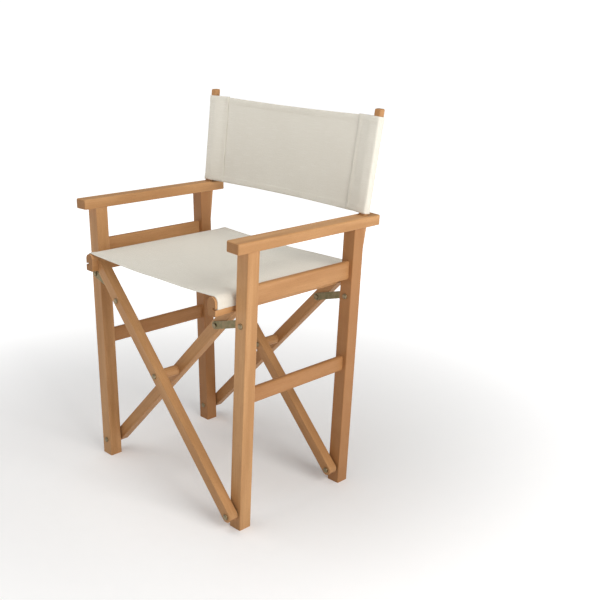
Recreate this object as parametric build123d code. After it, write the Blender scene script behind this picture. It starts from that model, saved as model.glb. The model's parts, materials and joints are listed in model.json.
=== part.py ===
from build123d import *
from math import atan2, cos, degrees, hypot, radians, sin, tan
import os

# A wooden folding armchair with canvas seat and back, standing open.
# Millimetres, +Z up, seat facing -Y, origin on the floor under the middle of the chair.

# Folding linkage
PIVOT_Z = 36.5          # lower pivots above the floor
HALF_BAR = 333.0        # lower pivot to the centre pivot
BAR_TILT = 44.0         # cross bars from upright, chair open
LINK_ON_BAR = 191.0     # centre pivot to the link bolt, along the bar
LINK_ON_POST = 411.0    # lower pivot to the link bolt, along the leg
LEAN = 2.0              # each side frame leans outward by this angle

# Side frames
LEG_WIDTH = 32.0
LEG_DEPTH = 30.0
LEG_ROUND = 2.0
FRONT = -167.7          # front face of the front legs
FRAME_DEPTH = 329.0
ARM_BOTTOM = 598.0
ARM_TOP = 620.0
ARM_INNER = -17.0
ARM_OUTER = 20.0
ARM_FRONT = -28.0
ARM_BACK = 374.0
ARM_CORNER_ROUND = 5.0
ARM_TOP_ROUND = 3.0
ARM_BOTTOM_ROUND = 2.0
UPPER_RAIL = (486.0, 526.0)
LOWER_RAIL = (276.0, 310.0)
SIDE_RAIL_WIDTH = 12.0
SIDE_RAIL_ROUND = 4.5
TENON = (8.0, 15.0, 6.0)        # thickness, length, shoulder above and below
TENON_FIT = 0.05
TENON_END_GAP = 0.5
DOWEL_RADIUS = 5.0
ARM_DOWEL_LENGTH = 26.0
REAR_DOWEL_INSET = 13.0

# Back posts, raked backward
POST_WIDTH = 17.0
POST_DEPTH = 15.0
POST_BOTTOM = 528.0
POST_TOP = 840.0
POST_REAR_AT_BOTTOM = 336.0
RAKE = 0.13
POST_ROUND = 3.0
POST_TOP_ROUND = 2.8
POST_IN_LEG_FIT = 0.05
POST_IN_ARM_FIT = 0.15
SCREW_HEIGHTS = (546.0, 570.0)
SCREW_RADIUS = 2.0
SCREW_TIP = 27.0        # depths below the post's rear face
SCREW_CUP = (0.4, 2.0)
SCREW_CUP_RADIUS = 4.0

# Cross bars, seat rails and links
BAR_WIDTH = 25.0
BAR_DEPTH = 22.5
BAR_ROUND = 1.8
BAR_BLANK = 334.0       # upper end of a bar before it is cut along its seat rail
BAR_GAP = 3.0           # between a bar and the leg beside it
SEAT_RAIL_INNER = 196.5
SEAT_RAIL_WIDTH = 23.0
SEAT_RAIL_BOTTOM = 468.0
SEAT_RAIL_TOP = 506.0
SEAT_RAIL_ROUND = 3.0   # lower edges
SEAT_RAIL_FRONT = -41.0
SEAT_RAIL_BACK = 360.0
SLOT_Z = 483.0
SLOT_BORE = 3.6
SLOT_MOUTH = 2.6
SLOT_INSET = 5.5
HEM_ROD = 1.8
HEM_GAP = 0.3           # between the looped hem and both the rod and the slot
RAIL_DOWEL = (4.0, 477.0, 183.5, 206.5)     # radius, height, inner and outer ends
LINK_WIDTH = 16.0
LINK_THICK = 2.2
LINK_GAP = 0.4
SPACER_RADIUS = 11.0

# Hardware
SHANK = 3.0
SNUG = 0.02             # radial clearance of a shank in its own piece
RUNNING = 0.06          # radial clearance of a shank in a piece that turns on it
PLAY = 0.2              # end play where one piece turns against another
HEAD_RADIUS = 6.0
HEAD_HEIGHT = 3.4
RIVET_HEAD = (5.4, 2.6)         # radius, height
DOME = 0.8              # share of a head's height that is rounded over
HEAD_ROOT = 0.5         # length of shank inside the head
NUT_FLATS = 10.0
NUT_HEIGHT = 4.0
CAP_HEIGHT = 2.6
CAP_STEP = 0.6
THREAD_IN_NUT = 3.5
WASHER_RADIUS = 9.0

# Canvas
CLOTH = 1.6
CLOTH_GAP = 0.4
SEAT_CLOTH = (-36.0, 356.0)
BACK_CLOTH = (624.0, 824.0)

PIVOT_X = HALF_BAR * sin(radians(BAR_TILT))
CENTRE_Z = PIVOT_Z + HALF_BAR * cos(radians(BAR_TILT))
SEAT_RAIL_OUTER = SEAT_RAIL_INNER + SEAT_RAIL_WIDTH
REAR_LEG = FRAME_DEPTH - LEG_DEPTH

# Front faces of the four bars, measured back from the front face of the front legs
FRONT_OUTER = -BAR_GAP - BAR_DEPTH
FRONT_INNER = LEG_DEPTH + BAR_GAP
REAR_INNER = REAR_LEG - BAR_GAP - BAR_DEPTH
REAR_OUTER = FRAME_DEPTH + BAR_GAP


def up(height):
    """Distance along a leaning leg from its lower pivot to a height above the floor."""
    return (height - PIVOT_Z) / cos(radians(LEAN))


def post_rear(height):
    return POST_REAR_AT_BOTTOM + RAKE * (height - POST_BOTTOM)


def block(x0, x1, y0, y1, z0, z1):
    middle = Pos((x0 + x1) / 2, (y0 + y1) / 2, (z0 + z1) / 2)
    return middle * Box(x1 - x0, y1 - y0, z1 - z0)


def rod(x, z, radius, y0, y1):
    """A round bar or a hole cutter lying front to back."""
    return Pos(x, (y0 + y1) / 2, z) * Rot(90, 0, 0) * Cylinder(radius, y1 - y0)


def pin(radius, low, high):
    """An upright pin or hole cutter between two levels."""
    return Pos(0, 0, (low + high) / 2) * Cylinder(radius, high - low)


def facing(shape, x, y, z, way):
    """Stand a shape built up from z = 0 on a face that looks along +Y or -Y."""
    return Pos(x, y, z) * Rot(-90 * way, 0, 0) * shape


def head(x, y, z, way, radius=HEAD_RADIUS, height=HEAD_HEIGHT):
    dome = Pos(0, 0, height / 2) * Cylinder(radius, height)
    rim = dome.edges().filter_by(GeomType.CIRCLE).sort_by(Axis.Z)[-1]
    return facing(fillet(rim, height * DOME), x, y, z, way)


def cap_nut(x, y, z, way):
    hexagon = extrude(RegularPolygon(NUT_FLATS / 2, 6, major_radius=False), NUT_HEIGHT)
    cap_radius = NUT_FLATS / 2 - CAP_STEP
    cap = Pos(0, 0, NUT_HEIGHT + CAP_HEIGHT / 2) * Cylinder(cap_radius, CAP_HEIGHT)
    rim = cap.edges().filter_by(GeomType.CIRCLE).sort_by(Axis.Z)[-1]
    bore = Cylinder(SHANK + SNUG, 2 * NUT_HEIGHT)
    return facing(hexagon + fillet(rim, CAP_HEIGHT * DOME) - bore, x, y, z, way)


def washer(x, z, y0, y1):
    return rod(x, z, WASHER_RADIUS, y0, y1) - rod(x, z, SHANK + SNUG, y0 - 1, y1 + 1)


def leaning(shape, hand):
    """Take a piece from leg coordinates to its place on the right (1) or left (-1) frame."""
    placed = Pos(PIVOT_X, FRONT, PIVOT_Z) * Rot(0, LEAN, 0) * shape
    return placed if hand > 0 else mirror(placed, about=Plane.YZ)


def level(shape, hand=1):
    """Shift an upright piece back from leg-face depths, mirrored for the left."""
    placed = Pos(0, FRONT, 0) * shape
    return placed if hand > 0 else mirror(placed, about=Plane.YZ)


def post_prism(grow=0.0, top=POST_TOP, bottom=POST_BOTTOM):
    """The raked post as a plain prism in leg coordinates, grown all round by a clearance."""
    corners = [
        (0, post_rear(bottom) - POST_DEPTH - grow, up(bottom) - grow),
        (0, post_rear(bottom) + grow, up(bottom) - grow),
        (0, post_rear(top) + grow, up(top)),
        (0, post_rear(top) - POST_DEPTH - grow, up(top)),
    ]
    face = make_face(Polyline(*corners, close=True))
    return extrude(face, amount=POST_WIDTH / 2 + grow, dir=(1, 0, 0), both=True)


def back_post():
    post = post_prism()
    long_edges = post.edges().filter_by(lambda e: abs(e.tangent_at(0.5).Z) > 0.9)
    post = fillet(long_edges, POST_ROUND)
    post = fillet(post.faces().sort_by(Axis.Z)[-1].edges(), POST_TOP_ROUND)
    cup_depth = SCREW_CUP[1]
    for height in SCREW_HEIGHTS:
        post -= screw_plane(height) * pin(SCREW_RADIUS + SNUG, -2 * POST_DEPTH, POST_DEPTH)
        post -= screw_plane(height) * pin(SCREW_CUP_RADIUS + PLAY, -cup_depth, cup_depth)
    return post


def screw_plane(height):
    """A plane on the post's rear face, square to it."""
    return Plane(origin=(0, post_rear(height), up(height)), z_dir=(0, 1, -RAKE))


def post_screws():
    high, low = SCREW_CUP
    cup = pin(SCREW_CUP_RADIUS, -low, -high)
    shank = pin(SCREW_RADIUS, -SCREW_TIP, -low + HEAD_ROOT)
    return [screw_plane(height) * (shank + cup) for height in SCREW_HEIGHTS]


def leg(y0, hand, rail_face, dowel_y):
    """A leg with its mortises, bolt holes and dowel hole, trimmed flat on the floor."""
    is_rear = y0 > 0
    half = LEG_WIDTH / 2
    body = block(-half, half, y0, y0 + LEG_DEPTH, -2 * PIVOT_Z, up(ARM_BOTTOM))
    body = fillet(body.edges().filter_by(Axis.Z), LEG_ROUND)
    for height in (0, LINK_ON_POST):
        body -= rod(0, height, SHANK + SNUG, y0 - 1, y0 + LEG_DEPTH + 1)
    thick, length, shoulder = TENON
    half_slot = thick / 2 + TENON_FIT
    depth = (length + TENON_END_GAP) * (1 if is_rear else -1)
    near, far = sorted((rail_face, rail_face + depth))
    for low, high in (UPPER_RAIL, LOWER_RAIL):
        body -= block(-half_slot, half_slot, near, far,
                      up(low) + shoulder - TENON_FIT, up(high) - shoulder + TENON_FIT)
    body -= arm_dowel(dowel_y, SNUG)
    if is_rear:
        body -= post_prism(POST_IN_LEG_FIT)
        for height in SCREW_HEIGHTS:
            body -= screw_plane(height) * pin(SCREW_RADIUS + SNUG, -SCREW_TIP - SNUG, SCREW_TIP)
    floor = block(-400, 400, -300, 500, -100, 0)
    return leaning(body, hand) - floor


def arm_dowel(y, grow=0.0):
    middle = up(ARM_BOTTOM) - 1.0
    return Pos(0, y, middle) * Cylinder(DOWEL_RADIUS + grow, ARM_DOWEL_LENGTH + 2 * grow)


def side_rail(heights):
    low, high = up(heights[0]), up(heights[1])
    half = SIDE_RAIL_WIDTH / 2
    body = block(-half, half, LEG_DEPTH, REAR_LEG, low, high)
    body = fillet(body.edges().filter_by(Axis.Y), SIDE_RAIL_ROUND)
    thick, length, shoulder = TENON
    return body + block(-thick / 2, thick / 2, LEG_DEPTH - length, REAR_LEG + length,
                        low + shoulder, high - shoulder)


def armrest():
    body = block(ARM_INNER, ARM_OUTER, ARM_FRONT, ARM_BACK, up(ARM_BOTTOM), up(ARM_TOP))
    body = fillet(body.edges().filter_by(Axis.Z), ARM_CORNER_ROUND)
    body = fillet(body.faces().sort_by(Axis.Z)[-1].edges(), ARM_TOP_ROUND)
    body = fillet(body.faces().sort_by(Axis.Z)[0].edges(), ARM_BOTTOM_ROUND)
    body -= post_prism(POST_IN_ARM_FIT)
    for y in (LEG_DEPTH / 2, REAR_LEG + REAR_DOWEL_INSET):
        body -= arm_dowel(y, SNUG)
    return body


def bolt(y_face, way, z, length):
    """A bolt whose domed head stands on a face that looks along way."""
    y_end = y_face - way * length
    ends = sorted((y_face + way * HEAD_ROOT, y_end))
    return head(0, y_face, z, way) + rod(0, z, SHANK, *ends)


def side_hardware(hand):
    """Bolts, nuts and washers carried by one side frame, in leg coordinates."""
    if hand > 0:
        pivot_heads = (FRONT_OUTER - PLAY, REAR_INNER - PLAY)
        washers = ((-BAR_GAP + PLAY, 0.0), (REAR_LEG - BAR_GAP + PLAY, REAR_LEG))
        nut_faces = (LEG_DEPTH, FRAME_DEPTH)
        link_heads = (0.0, REAR_LEG)
        link_nuts = (LEG_DEPTH + BAR_GAP - PLAY, FRAME_DEPTH + BAR_GAP - PLAY)
    else:
        pivot_heads = (0.0, REAR_LEG)
        washers = ((LEG_DEPTH, LEG_DEPTH + BAR_GAP - PLAY),
                   (FRAME_DEPTH, FRAME_DEPTH + BAR_GAP - PLAY))
        nut_faces = (FRONT_INNER + BAR_DEPTH + PLAY, REAR_OUTER + BAR_DEPTH + PLAY)
        link_heads = (-BAR_GAP + PLAY, REAR_LEG - BAR_GAP + PLAY)
        link_nuts = (LEG_DEPTH, FRAME_DEPTH)
    pieces = {"pivot_bolts": [], "pivot_nuts": [], "pivot_washers": [],
              "link_bolts": [], "link_nuts": []}
    for end in (0, 1):
        length = nut_faces[end] - pivot_heads[end] + THREAD_IN_NUT
        pieces["pivot_bolts"].append(bolt(pivot_heads[end], -1, 0, length))
        pieces["pivot_nuts"].append(cap_nut(0, nut_faces[end], 0, 1))
        pieces["pivot_washers"].append(washer(0, 0, *washers[end]))
        length = link_nuts[end] - link_heads[end] + THREAD_IN_NUT
        pieces["link_bolts"].append(bolt(link_heads[end], -1, LINK_ON_POST, length))
        pieces["link_nuts"].append(cap_nut(0, link_nuts[end], LINK_ON_POST, 1))
    return pieces


def on_bar(distance, hand):
    """Where a point along a bar lies when the bar's upper end points to one hand."""
    angle = radians(BAR_TILT)
    return hand * distance * sin(angle), CENTRE_Z + distance * cos(angle)


def cross_bar(y_front, hand):
    """A bar, rounded about its lower pivot and cut upright where its seat rail sits."""
    y_back = y_front + BAR_DEPTH
    half = BAR_WIDTH / 2
    body = block(-half, half, y_front, y_back, -HALF_BAR, BAR_BLANK)
    body += rod(0, -HALF_BAR, half, y_front, y_back)
    rims = body.faces().sort_by(Axis.Y)[0].edges() + body.faces().sort_by(Axis.Y)[-1].edges()
    body = fillet(rims, BAR_ROUND)
    for along, clearance in ((0, centre_clearance(y_front)), (-HALF_BAR, RUNNING),
                             (LINK_ON_BAR, SNUG)):
        body -= rod(0, along, SHANK + clearance, y_front - 1, y_back + 1)
    body = Pos(0, 0, CENTRE_Z) * Rot(0, BAR_TILT, 0) * body
    body -= block(SEAT_RAIL_INNER, 400, -200, 500, 300, 700)
    body -= rail_dowel(y_front, SNUG)
    return level(body, hand)


def centre_clearance(y_front):
    """The centre bolts are fixed in the bars that carry the right-hand seat rail."""
    return SNUG if y_front in (FRONT_INNER, REAR_OUTER) else RUNNING


def rail_dowel(y_front, grow=0.0):
    radius, height, inner, outer = RAIL_DOWEL
    place = Pos((inner + outer) / 2, y_front + BAR_DEPTH / 2, height)
    return place * Rot(0, 90, 0) * Cylinder(radius + grow, outer - inner + 2 * grow)


def seat_rail(hand, bars):
    """A rail with a round top, and a keyhole slot along its outer face for the seat hem."""
    round_top = SEAT_RAIL_WIDTH / 2
    middle = SEAT_RAIL_INNER + round_top
    y0, y1 = SEAT_RAIL_FRONT, SEAT_RAIL_BACK
    body = block(SEAT_RAIL_INNER, SEAT_RAIL_OUTER, y0, y1, SEAT_RAIL_BOTTOM,
                 SEAT_RAIL_TOP - round_top)
    body = fillet(body.edges().filter_by(Axis.Y).group_by(Axis.Z)[0], SEAT_RAIL_ROUND)
    body += rod(middle, SEAT_RAIL_TOP - round_top, round_top, y0, y1)
    body -= rod(SEAT_RAIL_OUTER - SLOT_INSET, SLOT_Z, SLOT_BORE, y0 - 1, y1 + 1)
    body -= block(SEAT_RAIL_OUTER - SLOT_INSET, SEAT_RAIL_OUTER + 1, y0 - 1, y1 + 1,
                  SLOT_Z - SLOT_MOUTH / 2, SLOT_Z + SLOT_MOUTH / 2)
    for y_front in bars:
        body -= rail_dowel(y_front, SNUG)
    return level(body, hand)


def hem_rod(hand):
    return level(rod(SEAT_RAIL_OUTER - SLOT_INSET, SLOT_Z, HEM_ROD, *SEAT_CLOTH), hand)


def link(y_near, hand, rivet_way):
    """A flat steel link from leg to bar, and the rivet that closes its bar end."""
    x0 = PIVOT_X + LINK_ON_POST * sin(radians(LEAN))
    z0 = PIVOT_Z + LINK_ON_POST * cos(radians(LEAN))
    x1, z1 = on_bar(LINK_ON_BAR, 1)
    length = hypot(x1 - x0, z1 - z0)
    angle = degrees(atan2(x0 - x1, z0 - z1))
    y_far = y_near + LINK_THICK
    half = LINK_WIDTH / 2
    strap = block(-half, half, y_near, y_far, -length / 2, length / 2)
    strap = Pos((x0 + x1) / 2, 0, (z0 + z1) / 2) * Rot(0, angle, 0) * strap
    strap += rod(x0, z0, half, y_near, y_far) + rod(x1, z1, half, y_near, y_far)
    strap -= rod(x0, z0, SHANK + RUNNING, y_near - 1, y_far + 1)
    strap -= rod(x1, z1, SHANK + SNUG, y_near - 1, y_far + 1)
    face = y_far if rivet_way > 0 else y_near
    rivet = rod(x1, z1, SHANK, y_near, y_far) + head(x1, face, z1, rivet_way, *RIVET_HEAD)
    return level(strap, hand), level(rivet, hand)


def centre_set(outer_front, inner_front):
    """Bolt, cap nut and wooden spacer where two bars cross."""
    outer_back = outer_front + BAR_DEPTH
    inner_back = inner_front + BAR_DEPTH
    face = outer_front - PLAY
    shank = rod(0, CENTRE_Z, SHANK, face - HEAD_ROOT, inner_back + THREAD_IN_NUT)
    centre_bolt = head(0, face, CENTRE_Z, -1) + shank
    nut = cap_nut(0, inner_back, CENTRE_Z, 1)
    spacer = rod(0, CENTRE_Z, SPACER_RADIUS, outer_back + PLAY, inner_front)
    spacer -= rod(0, CENTRE_Z, SHANK + SNUG, outer_back, inner_front + 1)
    return level(centre_bolt), level(nut), level(spacer)


def bar_bolt_with_head(y_front):
    """A link bolt that shows its head and ends flush with the bar's rear face."""
    x, z = on_bar(LINK_ON_BAR, 1)
    shank = rod(x, z, SHANK, y_front - HEAD_ROOT, y_front + BAR_DEPTH)
    return level(head(x, y_front, z, -1) + shank, -1)


def bar_bolt_with_nut(y_front):
    """A link bolt flush with the bar's front face, and the cap nut behind the bar."""
    x, z = on_bar(LINK_ON_BAR, 1)
    y_back = y_front + BAR_DEPTH
    shank = rod(x, z, SHANK, y_front, y_back + THREAD_IN_NUT)
    return level(shank), level(cap_nut(x, y_back, z, 1))


def seat_canvas():
    """The seat: over both rails, down their outer faces and round a rod in each slot."""
    y0, y1 = SEAT_CLOTH
    middle = SEAT_RAIL_INNER + SEAT_RAIL_WIDTH / 2
    bend_z = SEAT_RAIL_TOP - SEAT_RAIL_WIDTH / 2
    inner = SEAT_RAIL_WIDTH / 2 + CLOTH_GAP
    outer = inner + CLOTH
    bend = rod(middle, bend_z, outer, y0, y1) - rod(middle, bend_z, inner, y0 - 1, y1 + 1)
    bend &= block(middle, middle + 30, y0, y1, bend_z, bend_z + 30)
    half_cloth = CLOTH / 2
    flap = block(middle + inner, middle + outer, y0, y1, SLOT_Z - half_cloth, bend_z)
    bore_x = SEAT_RAIL_OUTER - SLOT_INSET
    loop_outer = SLOT_BORE - HEM_GAP
    loop_inner = HEM_ROD + HEM_GAP
    lip = block(bore_x + (loop_outer + loop_inner) / 2, middle + outer, y0, y1,
                SLOT_Z - half_cloth, SLOT_Z + half_cloth)
    loop = rod(bore_x, SLOT_Z, loop_outer, y0, y1) - rod(bore_x, SLOT_Z, loop_inner, y0, y1)
    edge = bend + flap + lip + loop
    panel = block(-middle, middle, y0, y1, bend_z + inner, bend_z + outer)
    return level(panel + edge + mirror(edge, about=Plane.YZ))


def back_canvas():
    """The back: a panel between two sleeves that slip over the raked posts."""
    low, high = BACK_CLOTH
    outside = post_prism(CLOTH_GAP + CLOTH, high, low)
    sleeve = outside - post_prism(CLOTH_GAP, high + 5, low - 5)
    sleeve &= block(-40, 40, 200, 500, up(low), up(high))
    mid_low = post_rear(low) - POST_DEPTH / 2
    plane = Plane(origin=(0, mid_low, low), x_dir=(1, 0, 0), z_dir=(0, -1, RAKE))
    rise = (high - low) * hypot(1, RAKE)
    reach = POST_WIDTH / 2 + CLOTH_GAP + CLOTH / 2
    wide_low = PIVOT_X + up(low) * sin(radians(LEAN)) - reach
    wide_high = PIVOT_X + up(high) * sin(radians(LEAN)) - reach
    outline = Polygon((-wide_low, 0), (wide_low, 0), (wide_high, rise), (-wide_high, rise),
                      align=None)
    panel = level(extrude(plane * outline, amount=CLOTH / 2, both=True))
    return leaning(sleeve, 1) + leaning(sleeve, -1) + panel


def save(name, shapes):
    if not isinstance(shapes, list):
        shapes = [shapes]
    solids = []
    for shape in shapes:
        solids.extend(shape.solids())
    export_step(solids[0] if len(solids) == 1 else Compound(children=solids),
                "parts/" + name + ".step")


def build_side(name, hand):
    save(name + "_front_leg", leg(0.0, hand, LEG_DEPTH, LEG_DEPTH / 2))
    save(name + "_rear_leg", leg(REAR_LEG, hand, REAR_LEG, REAR_LEG + REAR_DOWEL_INSET))
    save(name + "_back_post", leaning(back_post(), hand))
    save(name + "_post_screws", [leaning(screw, hand) for screw in post_screws()])
    save(name + "_armrest", leaning(armrest(), hand))
    save(name + "_upper_rail", leaning(side_rail(UPPER_RAIL), hand))
    save(name + "_lower_rail", leaning(side_rail(LOWER_RAIL), hand))
    dowels = (arm_dowel(LEG_DEPTH / 2), arm_dowel(REAR_LEG + REAR_DOWEL_INSET))
    save(name + "_arm_dowels", [leaning(dowel, hand) for dowel in dowels])
    for kind, pieces in side_hardware(hand).items():
        save(name + "_" + kind, [leaning(piece, hand) for piece in pieces])


def build_cross():
    save("front_outer_bar", cross_bar(FRONT_OUTER, -1))
    save("front_inner_bar", cross_bar(FRONT_INNER, 1))
    save("rear_inner_bar", cross_bar(REAR_INNER, -1))
    save("rear_outer_bar", cross_bar(REAR_OUTER, 1))
    left_bars = (FRONT_OUTER, REAR_INNER)
    right_bars = (FRONT_INNER, REAR_OUTER)
    for name, hand, bars in (("left", -1, left_bars), ("right", 1, right_bars)):
        save(name + "_seat_rail", seat_rail(hand, bars))
        save(name + "_rail_dowels", [level(rail_dowel(y), hand) for y in bars])
        save(name + "_hem_rod", hem_rod(hand))
    sets = (centre_set(FRONT_OUTER, FRONT_INNER), centre_set(REAR_INNER, REAR_OUTER))
    for index, kind in enumerate(("centre_bolts", "centre_nuts", "centre_spacers")):
        save(kind, [pieces[index] for pieces in sets])
    save("left_bar_bolts", [bar_bolt_with_head(y) for y in left_bars])
    pairs = [bar_bolt_with_nut(y) for y in right_bars]
    save("right_bar_bolts", [pair[0] for pair in pairs])
    save("right_bar_nuts", [pair[1] for pair in pairs])


def build_links():
    before = -LINK_GAP - LINK_THICK
    places = (
        ("front_left_link", before, -1, 1),
        ("front_right_link", LEG_DEPTH + LINK_GAP, 1, -1),
        ("rear_left_link", REAR_LEG + before, -1, 1),
        ("rear_right_link", FRAME_DEPTH + LINK_GAP, 1, -1),
    )
    for name, y_near, hand, rivet_way in places:
        strap, rivet = link(y_near, hand, rivet_way)
        save(name, strap)
        save(name + "_rivet", rivet)


os.makedirs("parts", exist_ok=True)
build_side("left", -1)
build_side("right", 1)
build_cross()
build_links()
save("seat_canvas", seat_canvas())
save("back_canvas", back_canvas())
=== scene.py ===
import json
import math

import bpy
import numpy as np
from mathutils import Matrix, Vector


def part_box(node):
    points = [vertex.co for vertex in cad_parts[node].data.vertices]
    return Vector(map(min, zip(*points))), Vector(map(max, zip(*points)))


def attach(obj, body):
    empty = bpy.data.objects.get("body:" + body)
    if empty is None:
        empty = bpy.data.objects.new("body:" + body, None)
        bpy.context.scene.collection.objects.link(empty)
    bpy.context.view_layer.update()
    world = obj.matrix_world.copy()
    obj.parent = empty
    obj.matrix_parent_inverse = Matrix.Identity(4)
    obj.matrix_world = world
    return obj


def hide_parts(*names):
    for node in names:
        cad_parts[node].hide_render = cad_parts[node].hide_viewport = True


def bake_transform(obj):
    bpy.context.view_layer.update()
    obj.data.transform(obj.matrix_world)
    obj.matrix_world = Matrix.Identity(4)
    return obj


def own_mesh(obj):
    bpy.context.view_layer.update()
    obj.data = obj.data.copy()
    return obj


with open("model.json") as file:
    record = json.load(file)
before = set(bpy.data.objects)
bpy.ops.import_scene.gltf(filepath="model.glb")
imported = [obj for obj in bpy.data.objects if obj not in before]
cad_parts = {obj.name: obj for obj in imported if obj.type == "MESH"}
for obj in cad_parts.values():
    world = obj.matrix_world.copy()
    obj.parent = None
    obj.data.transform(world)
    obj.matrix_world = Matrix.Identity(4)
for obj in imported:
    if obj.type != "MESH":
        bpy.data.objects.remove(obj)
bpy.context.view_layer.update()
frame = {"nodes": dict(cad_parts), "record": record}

# ---------------------------------------------------------------- Beech timber
# The whole frame is steamed beech, planed, sanded and given a thin satin varnish.
# Each stick is cut from its own board, so each gets its own run of grain along its length,
# short dark ray flecks on the faces and a darker, more porous end grain.


class Line:
    """A value inside a material; arithmetic on it adds Math nodes."""

    def __init__(self, finish, socket):
        self.finish, self.socket = finish, socket

    def sum(self, operation, *values):
        inputs = dict(enumerate(values))
        return self.finish.node("ShaderNodeMath", {"operation": operation}, inputs)

    def __add__(self, other):
        return self.sum("ADD", self, other)

    def __radd__(self, other):
        return self.sum("ADD", other, self)

    def __sub__(self, other):
        return self.sum("SUBTRACT", self, other)

    def __rsub__(self, other):
        return self.sum("SUBTRACT", other, self)

    def __mul__(self, other):
        return self.sum("MULTIPLY", self, other)

    def wave(self):
        return self.sum("SINE", self)

    def size(self):
        return self.sum("ABSOLUTE", self)

    def step(self, low, high):
        """0 below low, 1 above high, smooth in between."""
        settings = {"interpolation_type": "SMOOTHSTEP"}
        return self.finish.node("ShaderNodeMapRange", settings,
                                {"Value": self, "From Min": low, "From Max": high})


class Finish:
    """One material. node() adds a node from its type, its settings and its inputs."""

    def __init__(self, name):
        self.material = bpy.data.materials.new(name)
        self.material.use_nodes = True
        self.tree = self.material.node_tree
        self.shader = self.tree.nodes["Principled BSDF"]

    def node(self, kind, settings=None, inputs=None, output=0):
        made = self.tree.nodes.new(kind)
        for key, value in (settings or {}).items():
            setattr(made, key, value)
        for key, value in (inputs or {}).items():
            self.feed(made.inputs[key], value)
        return Line(self, made.outputs[output])

    def feed(self, socket, value):
        if isinstance(value, Line):
            self.tree.links.new(value.socket, socket)
        else:
            socket.default_value = value

    def mix(self, factor, first, second):
        first, second = (rgb if isinstance(rgb, Line) else (*rgb, 1) for rgb in (first, second))
        return self.node("ShaderNodeMix", {"data_type": "RGBA"},
                         {0: factor, 6: first, 7: second}, output=2)

    def noise(self, vector, scale=1.0, detail=2.0, roughness=0.5):
        return self.node("ShaderNodeTexNoise", None,
                         {"Vector": vector, "Scale": scale, "Detail": detail,
                          "Roughness": roughness})

    def dot(self, vector, direction):
        return self.node("ShaderNodeVectorMath", {"operation": "DOT_PRODUCT"},
                         {0: vector, 1: direction}, output=1)

    def vector(self, x, y, z):
        return self.node("ShaderNodeCombineXYZ", None, {0: x, 1: y, 2: z})

    def bump(self, height, strength, distance):
        return self.node("ShaderNodeBump", None,
                         {"Height": height, "Strength": strength, "Distance": distance})

    def rounded_edge(self, radius):
        """1 along worn outside corners, fading to 0 on the flats."""
        soft = self.node("ShaderNodeBevel", {"samples": 6}, {"Radius": radius})
        true = self.node("ShaderNodeNewGeometry", output=1)
        agree = self.node("ShaderNodeVectorMath", {"operation": "DOT_PRODUCT"},
                          {0: soft, 1: true}, output=1)
        return (1 - agree).step(0.02, 0.25)

    def set(self, **inputs):
        for name, value in inputs.items():
            self.feed(self.shader.inputs[name.replace("_", " ")], value)


BEECH_PALE = (0.560, 0.306, 0.132)
BEECH_DEEP = (0.400, 0.196, 0.072)
BEECH_FLECK = (0.215, 0.092, 0.036)
BEECH_END = (0.280, 0.130, 0.048)
BEECH_EDGE = (0.560, 0.350, 0.190)
BEECH_MOTTLE_AND_SHADE = (0.330, 0.140, 0.046)


def beech(name, grain, board, painted_shade=0.0):
    """A beech finish whose grain runs along one direction; board picks the piece of timber."""
    along = Vector(grain).normalized()
    across = along.orthogonal().normalized()
    through = along.cross(across)
    finish = Finish(name)
    place = finish.node("ShaderNodeTexCoord", output=3)
    length = finish.dot(place, along) + board * 1.37
    width = finish.dot(place, across) + board * 0.53
    depth = finish.dot(place, through) + board * 0.29

    def figure(stretch, fine, detail, roughness=0.5):
        run = finish.vector(length * stretch, width * fine, depth * fine)
        return finish.noise(run, 1.0, detail, roughness)

    bands = figure(3.0, 34.0, 3.0, 0.6).step(0.34, 0.68)
    streaks = figure(16.0, 520.0, 3.0, 0.65)
    pores = figure(190.0, 2300.0, 1.0).step(0.62, 0.74)
    mottle = figure(26.0, 40.0, 2.0)
    colour = finish.mix(bands * 0.75, BEECH_PALE, BEECH_DEEP)
    colour = finish.mix(streaks.step(0.42, 0.66) * 0.34, colour, BEECH_DEEP)
    # Random mottle towards a deeper brown, plus each stick's painted shade: a fixed darkening that
    # stands in for the shadow the stick sits in.
    colour = finish.mix(mottle.step(0.40, 0.75) * 0.10 + painted_shade, colour, BEECH_MOTTLE_AND_SHADE)
    colour = finish.mix(pores * 0.50, colour, BEECH_FLECK)
    edge = finish.rounded_edge(0.0016)
    colour = finish.mix(edge * 0.45, colour, BEECH_EDGE)
    facing = finish.dot(finish.node("ShaderNodeTexCoord", output=1), along).size()
    end = facing.step(0.80, 0.93)
    rays = finish.noise(place, 900.0, 2.0).step(0.45, 0.62)
    colour = finish.mix(end * (0.62 + rays * 0.30), colour, BEECH_END)
    relief = streaks * 0.5 - pores * 0.8 + rays * end * 0.4
    finish.set(Base_Color=colour, Roughness=0.46 + streaks * 0.14 + end * 0.20 - edge * 0.06,
               Normal=finish.bump(relief, 0.30, 0.0002), Coat_Roughness=0.35, Coat_Weight=0.08,
               Specular_IOR_Level=0.26)
    return finish.material


def dress(node, material):
    """Give a CAD piece its finish through its material slots."""
    for place in range(len(frame["nodes"][node].data.materials)):
        frame["nodes"][node].data.materials[place] = material


# ---------------------------------------------------------------- Side frames
# Two legs, two rails and an armrest make each side; the back post is let into the rear leg
# and passes through the armrest. Mortised, doweled and glued, and leaning out two degrees.

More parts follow.
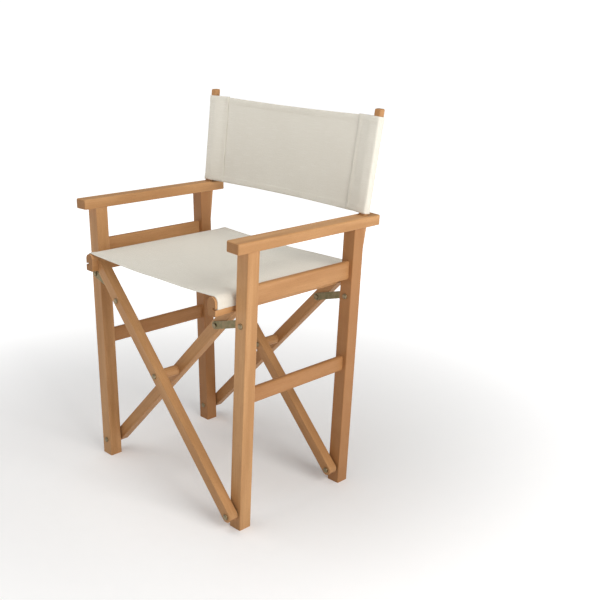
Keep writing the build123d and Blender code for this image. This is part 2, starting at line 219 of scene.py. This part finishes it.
LEAN = math.radians(2.0)
RAKE = 0.13
for board, (side, hand) in enumerate((("left", -1), ("right", 1))):
    leg_run = (hand * math.sin(LEAN), 0, math.cos(LEAN))
    post_run = (hand * math.sin(LEAN), RAKE, math.cos(LEAN))
    # The last number of each stick is painted shade. It darkens the sticks that sit in shadow, most
    # of all the rear legs and the lower rails.
    sticks = (("front_leg", leg_run, 0.04), ("rear_leg", leg_run, 0.72),
              ("back_post", post_run, 0.22), ("armrest", (0, 1, 0), 0.06),
              ("upper_rail", (0, 1, 0), 0.26), ("lower_rail", (0, 1, 0), 0.58),
              ("arm_dowels", leg_run, 0.00))
    for number, (kind, run, painted_shade) in enumerate(sticks):
        node = side + "_" + kind
        dress(node, beech("beech_" + node, run, 1 + board * 9 + number, painted_shade))

# ---------------------------------------------------------------- Crossed bars
# Four bars cross in two pairs under the seat, each pair on one bolt with a turned spacer.
# Their lower ends are rounded about the leg bolts, and the upper ends butt on the seat rails.

TILT = math.radians(44.0)
crossing = (("front_outer_bar", -1), ("front_inner_bar", 1),
            ("rear_inner_bar", -1), ("rear_outer_bar", 1))
# The bars get more painted shade the further back they sit.
for number, (node, hand) in enumerate(crossing):
    run = (hand * math.sin(TILT), 0, math.cos(TILT))
    dress(node, beech("beech_" + node, run, 21 + number, 0.10 + 0.08 * number))
# The seat rails, spacers, dowels and hem rods get a moderate painted shade.
for number, (node, run) in enumerate((("left_seat_rail", (0, 1, 0)),
                                      ("right_seat_rail", (0, 1, 0)),
                                      ("centre_spacers", (0, 1, 0)),
                                      ("left_rail_dowels", (1, 0, 0)),
                                      ("right_rail_dowels", (1, 0, 0)),
                                      ("left_hem_rod", (0, 1, 0)),
                                      ("right_hem_rod", (0, 1, 0)))):
    dress(node, beech("beech_" + node, run, 31 + number, 0.16))

# ---------------------------------------------------------------- Steel fittings
# Domed bolts, cap nuts and washers are zinc plated; the flat links are stamped from strip
# and passivated, which leaves them an uneven olive gold with scuffs along the edges.


def plated(name, colour, second, scuffed, roughness):
    finish = Finish(name)
    place = finish.node("ShaderNodeTexCoord", output=3)
    cloud = finish.noise(place, 140.0, 3.0, 0.6)
    grit = finish.noise(place, 1500.0, 2.0, 0.6)
    edge = finish.rounded_edge(0.0008)
    shade = finish.mix(cloud.step(0.38, 0.64), colour, second)
    shade = finish.mix(edge * 0.7 + grit.step(0.62, 0.70) * 0.25, shade, scuffed)
    finish.set(Base_Color=shade, Metallic=1.0 - grit.step(0.66, 0.74) * 0.25,
               Roughness=roughness + cloud * 0.14 - edge * 0.08,
               Normal=finish.bump(grit, 0.25, 0.00012))
    return finish.material


bolt_zinc = plated("bolt_zinc", (0.24, 0.19, 0.11), (0.31, 0.25, 0.16), (0.50, 0.43, 0.32), 0.32)
link_gold = plated("link_zinc", (0.19, 0.165, 0.088), (0.26, 0.205, 0.118), (0.42, 0.37, 0.27), 0.38)
for side in ("left", "right"):
    for kind in ("pivot_bolts", "pivot_nuts", "pivot_washers", "link_bolts", "link_nuts",
                 "post_screws"):
        dress(side + "_" + kind, bolt_zinc)
for node in ("centre_bolts", "centre_nuts", "left_bar_bolts", "right_bar_bolts",
             "right_bar_nuts"):
    dress(node, bolt_zinc)
for node in ("front_left_link", "front_right_link", "rear_left_link", "rear_right_link"):
    dress(node, link_gold)
    dress(node + "_rivet", bolt_zinc)

# ---------------------------------------------------------------- Seat canvas
# One piece of heavy unbleached cotton duck, hemmed front and back. It lies over both rails,
# runs down their outer faces and is held in each slot by a rod through its side hem.


def canvas(name):
    """Plain weave read from the cloth's own run and width, in metres, held in its UVs."""
    finish = Finish(name)
    flat = finish.node("ShaderNodeUVMap", {"uv_map": "cloth"})
    place = finish.node("ShaderNodeTexCoord", output=3)
    drift = finish.noise(flat, 45.0, 2.0) * 1.6
    warp_at = finish.dot(flat, (1, 0, 0)) * (2 * math.pi / 0.0011) + drift
    weft_at = finish.dot(flat, (0, 1, 0)) * (2 * math.pi / 0.0012) + drift
    warp, weft = warp_at.wave(), weft_at.wave()
    weave = warp * weft * 0.5 + 0.5
    thread_gap_shade = (1 - warp.size()) * (1 - weft.size())
    slub = finish.noise(finish.vector(finish.dot(flat, (1, 0, 0)) * 28,
                                      finish.dot(flat, (0, 1, 0)) * 900, 0), 1.0, 2.0)
    slub_up = finish.noise(finish.vector(finish.dot(flat, (1, 0, 0)) * 900,
                                         finish.dot(flat, (0, 1, 0)) * 28, 0), 1.0, 2.0)
    cloud = finish.noise(place, 9.0, 3.0, 0.6)
    lint = finish.noise(flat, 700.0, 2.0)
    colour = finish.mix(weave * 0.7, (0.700, 0.665, 0.575), (0.845, 0.815, 0.735))
    colour = finish.mix(slub.step(0.50, 0.74) * 0.45, colour, (0.880, 0.855, 0.790))
    colour = finish.mix(slub_up.step(0.56, 0.76) * 0.40, colour, (0.690, 0.645, 0.545))
    colour = finish.mix(cloud.step(0.45, 0.75) * 0.22, colour, (0.765, 0.725, 0.635))
    # Painted shade in the gaps between the threads.
    colour = finish.mix(thread_gap_shade * 0.55, colour, (0.480, 0.440, 0.365))
    relief = weave + slub * 0.6 + slub_up * 0.5 + lint * 0.3
    finish.set(Base_Color=colour, Roughness=0.86 + lint * 0.1,
               Normal=finish.bump(relief, 0.55, 0.00035), Sheen_Weight=0.12,
               Sheen_Roughness=0.5)
    return finish.material


duck = canvas("cotton_duck")


def cloth(name, across, along, surface, thickness, material):
    """A closed sheet over surface(u, v) -> (point, outward normal), hems and all."""
    rows, columns = len(along), len(across)
    points, flat = [], []
    for on_top in (True, False):
        for v in along:
            for u in across:
                point, out = surface(u, v)
                points.append(point + out * (thickness(u, v) if on_top else 0.0))
                flat.append((u, v))
    layer = rows * columns      # points in one face of the cloth
    faces = []
    for r in range(rows - 1):
        for c in range(columns - 1):
            a = r * columns + c
            top = (a, a + 1, a + 1 + columns, a + columns)
            faces.append(top)
            faces.append(tuple(layer + i for i in reversed(top)))
    rim = (list(range(columns))
           + [r * columns + columns - 1 for r in range(1, rows)]
           + [(rows - 1) * columns + c for c in range(columns - 2, -1, -1)]
           + [r * columns for r in range(rows - 2, 0, -1)])
    for first, second in zip(rim, rim[1:] + rim[:1]):
        faces.append((second, first, layer + first, layer + second))
    mesh = bpy.data.meshes.new(name)
    mesh.from_pydata(points, [], faces)
    layout = mesh.uv_layers.new(name="cloth")
    for loop in mesh.loops:
        layout.data[loop.index].uv = flat[loop.vertex_index]
    mesh.materials.append(material)
    mesh.polygons.foreach_set("use_smooth", [True] * len(mesh.polygons))
    mesh.validate()
    made = bpy.data.objects.new(name, mesh)
    bpy.context.scene.collection.objects.link(made)
    return made


def spread(start, stop, step):
    return list(np.linspace(start, stop, max(2, round(abs(stop - start) / step) + 1)))


SEAM_INSET = 0.0022     # stitching, in from the folded hem's edge
HEM_SOFT = 0.0006
DIMPLE_WIDTH, DIMPLE_DEPTH = 0.0009, 0.00035


def hem(distance, width, extra):
    """Height that a folded hem adds, with a soft step and a dimple at its stitching."""
    step = 1 / (1 + math.exp((distance - width) / HEM_SOFT))
    dimple = math.exp(-(((distance - width + SEAM_INSET) / DIMPLE_WIDTH) ** 2))
    return extra * step - DIMPLE_DEPTH * dimple


seat_low, seat_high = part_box("seat_canvas")
rail_low, rail_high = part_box("right_seat_rail")
ROUND = (rail_high.x - rail_low.x) / 2
RAIL_X = rail_low.x + ROUND
BEND_Z = rail_high.z - ROUND
UNDER = 0.0005
CANVAS = 0.0012
SEAT_SAG = 0.0045
SLOT_Z = 0.483
BORE_X = rail_high.x - 0.0055
HEM_TURN = 0.0021
FRONT_Y, BACK_Y = seat_low.y, seat_high.y
MID_Y = (FRONT_Y + BACK_Y) / 2
SEAT_HEM = 0.014

# The cloth's run from the middle of the seat to the rod, as (x, z) on its under side.
# None marks the level stretch between the rails.
level_run = spread(0.0, RAIL_X, 0.008)
half_run = [(x, None) for x in level_run]
turn = ROUND + UNDER
for angle in spread(0.0, math.pi / 2, math.pi / 22)[1:]:
    half_run.append((RAIL_X + turn * math.sin(angle), BEND_Z + turn * math.cos(angle)))
side_x = RAIL_X + turn
for z in spread(BEND_Z, SLOT_Z + 0.0012, 0.002)[1:]:
    half_run.append((side_x, z))
for x, z in ((side_x - 0.0003, SLOT_Z + 0.0003), (side_x - 0.0012, SLOT_Z - 0.0004),
             (side_x - 0.0026, SLOT_Z - 0.0006)):
    half_run.append((x, z))
for angle in spread(-0.28, -5.6, 0.42):
    half_run.append((BORE_X + HEM_TURN * math.cos(angle), SLOT_Z + HEM_TURN * math.sin(angle)))

runs = [0.0]
for (x0, z0), (x1, z1) in zip(half_run, half_run[1:]):
    rise = 0.0 if z0 is None or z1 is None else z1 - z0
    runs.append(runs[-1] + math.hypot(x1 - x0, rise))
half_width = runs[-1]
rail_run = runs[len(level_run) - 1]


def seat_surface(u, v):
    """Under side of the seat at run u from the middle and depth v from the middle."""
    s = min(abs(u), half_width)
    i = min(int(np.searchsorted(runs, s, side="right")) - 1, len(runs) - 2)
    t = (s - runs[i]) / max(runs[i + 1] - runs[i], 1e-9)

    def at(k):
        x, z = half_run[k]
        if z is None:
            z = BEND_Z + turn
        return Vector((x, z))

    def facing(k):
        before, after = at(max(k - 1, 0)), at(min(k + 1, len(half_run) - 1))
        run = (after - before).normalized()
        return Vector((-run.y, run.x))

    here = at(i).lerp(at(i + 1), t)
    out = facing(i).lerp(facing(i + 1), t).normalized()
    hand = 1 if u >= 0 else -1
    slack = max(0.0, 1 - (here.x / RAIL_X) ** 2) if s < rail_run else 0.0
    edge = abs(v) / ((BACK_Y - FRONT_Y) / 2)
    dip = SEAT_SAG * (0.75 + 0.25 * edge ** 2) * slack
    ripple = (math.sin(v * 61 + hand * here.x * 19) * 0.5
              + math.sin(v * 23 - hand * here.x * 37 + 1.3)) * 0.00045 * slack
    place = Vector((hand * here.x, MID_Y + v, here.y - dip + ripple))
    return place, Vector((hand * out.x, 0, out.y))


def seat_thickness(u, v):
    inset = (BACK_Y - FRONT_Y) / 2 - abs(v)
    rolled = min(1.0, 0.35 + inset / 0.0011)
    on_rod = 0.0 if abs(u) < half_width - 0.024 else 1.0
    return CANVAS * rolled + hem(inset, SEAT_HEM, 0.0009) * (1 - on_rod) * rolled


half_depth = (BACK_Y - FRONT_Y) / 2
hem_rows = [0.0, 0.0004, 0.0012, 0.004, 0.008, 0.0105, 0.0112, 0.0118, 0.0124, 0.0132, 0.0138,
            0.0144, 0.0152, 0.017]
rows = ([-half_depth + h for h in hem_rows] + spread(-half_depth + 0.024, half_depth - 0.024, 0.009)
        + [half_depth - h for h in reversed(hem_rows)])
across = [-r for r in reversed(runs[1:])] + runs
seat = cloth("seat_cloth", across, rows, seat_surface, seat_thickness, duck)

thread = Finish("hem_thread")
thread_place = thread.node("ShaderNodeTexCoord", output=3)
twist = (thread.dot(thread_place, (2200, 2600, 2400))).wave()
thread.set(Base_Color=thread.mix(twist * 0.5 + 0.5, (0.62, 0.58, 0.48), (0.84, 0.81, 0.73)),
           Roughness=0.7 + thread.noise(thread_place, 800.0) * 0.2,
           Normal=thread.bump(twist, 0.4, 0.0001))


def stitched(name, lines, material, long=0.0030, gap=0.0013, thick=0.00038):
    """Rows of raised lock stitches. Each line is a list of (point, normal) along the seam."""
    points, faces = [], []
    for line in lines:
        spots = [p for p, n in line]
        reach = [0.0]
        for first, second in zip(spots, spots[1:]):
            reach.append(reach[-1] + (second - first).length)
        for start in np.arange(gap, reach[-1] - long, long + gap):
            ends = []
            for s in (start, start + long):
                i = min(int(np.searchsorted(reach, s, side="right")) - 1, len(reach) - 2)
                t = (s - reach[i]) / max(reach[i + 1] - reach[i], 1e-9)
                ends.append((spots[i].lerp(spots[i + 1], t), line[i][1]))
            run = (ends[1][0] - ends[0][0]).normalized()
            out = ends[0][1]
            side = run.cross(out).normalized()
            first = len(points)
            for share, girth, lift in ((0.0, 0.35, -0.3), (0.2, 1.0, 0.45), (0.8, 1.0, 0.45),
                                       (1.0, 0.35, -0.3)):
                middle = ends[0][0].lerp(ends[1][0], share) + out * thick * lift
                for corner in range(6):
                    angle = corner * math.pi / 3
                    ring = side * math.cos(angle) + out * math.sin(angle)
                    points.append(middle + ring * thick * girth)
            for ring in range(3):
                for corner in range(6):
                    a = first + ring * 6 + corner
                    b = first + ring * 6 + (corner + 1) % 6
                    faces.append((a, b, b + 6, a + 6))
            faces.append(tuple(first + c for c in range(5, -1, -1)))
            faces.append(tuple(first + 18 + c for c in range(6)))
    mesh = bpy.data.meshes.new(name)
    mesh.from_pydata(points, [], faces)
    mesh.materials.append(material)
    mesh.polygons.foreach_set("use_smooth", [True] * len(mesh.polygons))
    made = bpy.data.objects.new(name, mesh)
    bpy.context.scene.collection.objects.link(made)
    return made


def on_cloth(surface, thickness, path):
    line = []
    for u, v in path:
        point, out = surface(u, v)
        line.append((point + out * thickness(u, v), out))
    return line


seam = half_depth - SEAT_HEM + SEAM_INSET
wide = spread(-half_width + 0.026, half_width - 0.026, 0.006)
side_seam = half_width - 0.0245
deep = spread(-half_depth + 0.003, half_depth - 0.003, 0.01)
seat_lines = [on_cloth(seat_surface, seat_thickness, [(u, v) for u in wide])
              for v in (-seam, seam)]
seat_lines += [on_cloth(seat_surface, seat_thickness, [(u, v) for v in deep])
               for u in (-side_seam, side_seam)]
seat_stitching = stitched("seat_stitching", seat_lines, thread.material)

for piece in (seat, seat_stitching):
    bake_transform(piece)
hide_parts("seat_canvas")

# ---------------------------------------------------------------- Back canvas
# The back is a second piece of the same duck, hemmed above and below. Each end is turned
# back on itself and stitched twice to make a flat sleeve that slips down over its post.

hinge = {joint["name"]: joint for joint in frame["record"]["behaviour"]["joints"]}["fold"]
PIVOT = Vector(hinge["pos_m"])
back_low, back_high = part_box("back_canvas")
post_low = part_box("right_back_post")[0]
LOW_Z, HIGH_Z = back_low.z, back_high.z
POST_HALF = 0.0085
POST_DEEP = 0.0075
POST_BOTTOM = 0.528
POST_REAR = post_low.y + 2 * POST_DEEP      # rear face at the post's lower end
SLEEVE = 0.047
BACK_HEM = 0.014
PANEL_INSET = 0.013     # panel's end, in from the middle of the post


def post_centre(z):
    """Middle of the right-hand post at a height."""
    x = -PIVOT.x + (z - PIVOT.z) * math.tan(LEAN)
    return Vector((x, POST_REAR + RAKE * (z - POST_BOTTOM) - POST_DEEP, z))


square = Vector((0, -1, RAKE)).normalized()
rise = (HIGH_Z - LOW_Z) * math.hypot(1, RAKE)


def bow(share, climb):
    """Slack that lets the panel lie back a little between the posts, most low down."""
    return (0.0050 - 0.0022 * climb) * math.sin(math.pi * share) ** 0.8


def panel_surface(u, v):
    """u is 0 to 1 from the left sleeve to the right, v the distance up from the lower hem."""
    climb = v / rise
    z = LOW_Z + (HIGH_Z - LOW_Z) * climb
    right = post_centre(z)
    reach = right.x - PANEL_INSET
    x = -reach + 2 * reach * u
    share = min(1.0, max(0.0, (x + right.x - SLEEVE) / (2 * (right.x - SLEEVE))))
    ripple = (math.sin(x * 43 + v * 31) + math.sin(x * 17 - v * 67)) * 0.0004
    fade = math.sin(math.pi * share)
    back = bow(share, climb) + ripple * fade
    curl = math.sin(math.pi * share) * 0.0022 * (1 - 2 * climb) ** 3
    return Vector((x, right.y, z + curl)) - square * (back + CANVAS / 2), square


def panel_thickness(u, v):
    inset = min(v, rise - v)
    rolled = min(1.0, 0.35 + inset / 0.0011)
    return CANVAS * rolled + hem(inset, BACK_HEM, 0.0008) * rolled


up_rows = hem_rows + spread(0.024, rise - 0.024, 0.008) + [rise - h for h in reversed(hem_rows)]
panel = cloth("back_cloth", spread(0.0, 1.0, 1 / 64), up_rows, panel_surface, panel_thickness,
              duck)
panel_uv = panel.data.uv_layers["cloth"].data
for loop in panel.data.loops:
    across_x = panel.data.vertices[loop.vertex_index].co.x
    panel_uv[loop.index].uv = (across_x, panel_uv[loop.index].uv[1])

# One sleeve's outline round its post, from the seam out along the front and back again:
# (towards the outside, towards the front), measured from the middle of the post
GAP = 0.0007
wrap_x, wrap_y = POST_HALF + GAP, POST_DEEP + GAP
corner = 0.0032
FOLD_Y = 0.0009         # half the gap between front and back where they meet at the seam


def tapering(share, side):
    """A point between the seam (0) and the post (1) on the front (1) or the back (-1)."""
    ease = share * share * (3 - 2 * share)
    x = -SLEEVE + (SLEEVE - wrap_x + corner) * share
    return x, side * (FOLD_Y + (wrap_y - FOLD_Y) * ease)


ring = []
for share in spread(0.0, 1.0, 1 / 12)[:-1]:
    ring.append(tapering(share, 1))
for cx, cy, start in ((wrap_x - corner, wrap_y - corner, math.pi / 2),
                      (wrap_x - corner, -wrap_y + corner, 0.0)):
    for angle in spread(start, start - math.pi / 2, math.pi / 10):
        ring.append((cx + corner * math.cos(angle), cy + corner * math.sin(angle)))
for share in spread(1.0, 0.0, 1 / 12)[1:]:
    ring.append(tapering(share, -1))
TURNING = 0.004         # sewn strip beyond the seam
ring = [(-SLEEVE - TURNING, FOLD_Y)] + ring + [(-SLEEVE - TURNING, -FOLD_Y)]
ring_runs = [0.0]
for (x0, y0), (x1, y1) in zip(ring, ring[1:]):
    ring_runs.append(ring_runs[-1] + math.hypot(x1 - x0, y1 - y0))


def sleeve_surface(hand):
    def surface(u, v):
        i = min(int(np.searchsorted(ring_runs, u, side="right")) - 1, len(ring) - 2)
        t = (u - ring_runs[i]) / max(ring_runs[i + 1] - ring_runs[i], 1e-9)

        def facing(k):
            (x0, y0), (x1, y1) = ring[max(k - 1, 0)], ring[min(k + 1, len(ring) - 1)]
            return Vector((-(y1 - y0), x1 - x0)).normalized()

        x = ring[i][0] * (1 - t) + ring[i + 1][0] * t
        y = ring[i][1] * (1 - t) + ring[i + 1][1] * t
        out = facing(i).lerp(facing(i + 1), t).normalized()
        climb = v / rise
        centre = post_centre(LOW_Z + (HIGH_Z - LOW_Z) * climb)
        lean = Vector((1, 0, -math.tan(LEAN)))
        slack = max(0.0, min(1.0, (-x - wrap_x) / 0.03))
        pucker = math.sin(v * 95 + x * 60) * 0.00035 * slack
        place = centre + lean * x + square * (y + (pucker if y > 0 else -pucker))
        normal = (lean * out.x + square * out.y).normalized()
        if hand < 0:
            place.x, normal.x = -place.x, -normal.x
        return place, normal
    return surface


def sleeve_thickness(u, v):
    inset = min(v, rise - v)
    rolled = min(1.0, 0.35 + inset / 0.0011)
    return 0.0011 * rolled + hem(inset, BACK_HEM, 0.0007) * rolled


sleeves = []
for hand, side in ((-1, "left"), (1, "right")):
    surface = sleeve_surface(hand)
    sleeve = cloth(side + "_sleeve", ring_runs, up_rows, surface, sleeve_thickness, duck)
    if hand < 0:
        sleeve.data.flip_normals()
    seams = []
    for u in (0.0055, 0.0105, ring_runs[-1] - 0.0055, ring_runs[-1] - 0.0105):
        seams.append(on_cloth(surface, sleeve_thickness,
                              [(u, v) for v in spread(0.002, rise - 0.002, 0.008)]))
    for v in (BACK_HEM - SEAM_INSET, rise - BACK_HEM + SEAM_INSET):
        seams.append(on_cloth(surface, sleeve_thickness,
                              [(u, v) for u in spread(0.006, ring_runs[-1] - 0.006, 0.003)]))
    seam_work = stitched(side + "_sleeve_stitching", seams, thread.material)
    sleeves.append((sleeve, seam_work, side))

inside = (SLEEVE + 0.006) / (2 * post_centre(LOW_Z).x)
panel_lines = [on_cloth(panel_surface, panel_thickness,
                        [(u, v) for u in spread(inside, 1 - inside, 0.01)])
               for v in (BACK_HEM - SEAM_INSET, rise - BACK_HEM + SEAM_INSET)]
panel_stitching = stitched("back_stitching", panel_lines, thread.material)
left_post = post_centre(LOW_Z)
for piece in (panel, panel_stitching):
    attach(piece, "left_side")
    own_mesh(piece)
for sleeve, seam_work, side in sleeves:
    for piece in (sleeve, seam_work):
        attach(piece, side + "_side")
    rise + 2 * BACK_HEM
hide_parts("back_canvas")
rise + 2 * BACK_HEM

# ---------------------------------------------------------------- Studio
# A pale floor whose glow is painted light, faint by the chair and near white further out,
# under a large soft window from the right, a broad light overhead and a weak one from the
# front left to keep the shaded faces open.

floor_mesh = bpy.data.meshes.new("floor")
FLOOR = 40
floor_mesh.from_pydata([(-FLOOR, -FLOOR, 0), (FLOOR, -FLOOR, 0), (FLOOR, FLOOR, 0),
                        (-FLOOR, FLOOR, 0)], [], [(0, 1, 2, 3)])
floor = bpy.data.objects.new("floor", floor_mesh)
bpy.context.scene.collection.objects.link(floor)
paper = Finish("floor_paper")
paper_place = paper.node("ShaderNodeTexCoord", output=3)
mottling = paper.noise(paper_place, 30.0, 3.0)
away = paper.node("ShaderNodeVectorMath", {"operation": "LENGTH"}, {0: paper_place}, output=1)
# Painted light: the floor's emission is 0.14 within 0.4 m of the middle and rises to 0.85 beyond 1.8
# m.
glow_ring = paper.mix(away.step(0.4, 1.8), (0.14, 0.14, 0.14), (0.85, 0.85, 0.85))
paper.set(Base_Color=paper.mix(mottling, (0.84, 0.84, 0.84), (0.87, 0.87, 0.865)),
          Roughness=0.8 + mottling * 0.1, Emission_Color=glow_ring, Emission_Strength=1.0)
floor_mesh.materials.append(paper.material)

for name, place, aim, size, power, tint in (
        ("window", (2.3, -0.15, 1.5), (0.1, 0, 0.4), 1.5, 41.0, (1.0, 0.985, 0.97)),
        ("ceiling", (-0.4, -0.6, 3.0), (0, 0, 0.4), 2.4, 40.0, (1.0, 1.0, 1.0)),
        ("front", (-1.0, -3.0, 1.2), (0, 0, 0.5), 2.2, 2.0, (0.98, 0.99, 1.0))):
    light = bpy.data.lights.new(name, "AREA")
    light.size = size
    light.energy = power
    light.color = tint
    lamp = bpy.data.objects.new(name, light)
    lamp.location = place
    lamp.rotation_euler = (Vector(aim) - Vector(place)).to_track_quat("-Z", "Y").to_euler()
    bpy.context.scene.collection.objects.link(lamp)

world = bpy.data.worlds.new("studio")
world.use_nodes = True
sky = world.node_tree.nodes["Background"]
sky.inputs["Color"].default_value = (1.0, 1.0, 1.0, 1)
seen = world.node_tree.nodes.new("ShaderNodeLightPath")
glow = world.node_tree.nodes.new("ShaderNodeMapRange")
glow.inputs["To Min"].default_value = 0.24
glow.inputs["To Max"].default_value = 1.05
world.node_tree.links.new(seen.outputs["Is Camera Ray"], glow.inputs["Value"])
world.node_tree.links.new(glow.outputs["Result"], sky.inputs["Strength"])
bpy.context.scene.world = world
bpy.context.scene.view_settings.view_transform = "Standard"

AZIMUTH, ELEVATION, ROLL = (math.radians(a) for a in (44.34, 17.57, 1.42))
DISTANCE = 1.95475
target = Vector((0.2082, 0.0323, 0.4504))
toward = Vector((math.sin(AZIMUTH) * math.cos(ELEVATION), -math.cos(AZIMUTH) * math.cos(ELEVATION),
                 math.sin(ELEVATION)))
level = (-toward).cross(Vector((0, 0, 1))).normalized()
upward = level.cross(-toward)
right_way = level * math.cos(ROLL) + upward * math.sin(ROLL)
up_way = upward * math.cos(ROLL) - level * math.sin(ROLL)
lens = bpy.data.cameras.new("camera")
lens.sensor_width = 36.0
lens.lens = 56.0136
camera = bpy.data.objects.new("camera", lens)
turned = Matrix((right_way, up_way, toward)).transposed()
camera.matrix_world = Matrix.Translation(target + toward * DISTANCE) @ turned.to_4x4()
bpy.context.scene.collection.objects.link(camera)
bpy.context.scene.camera = camera
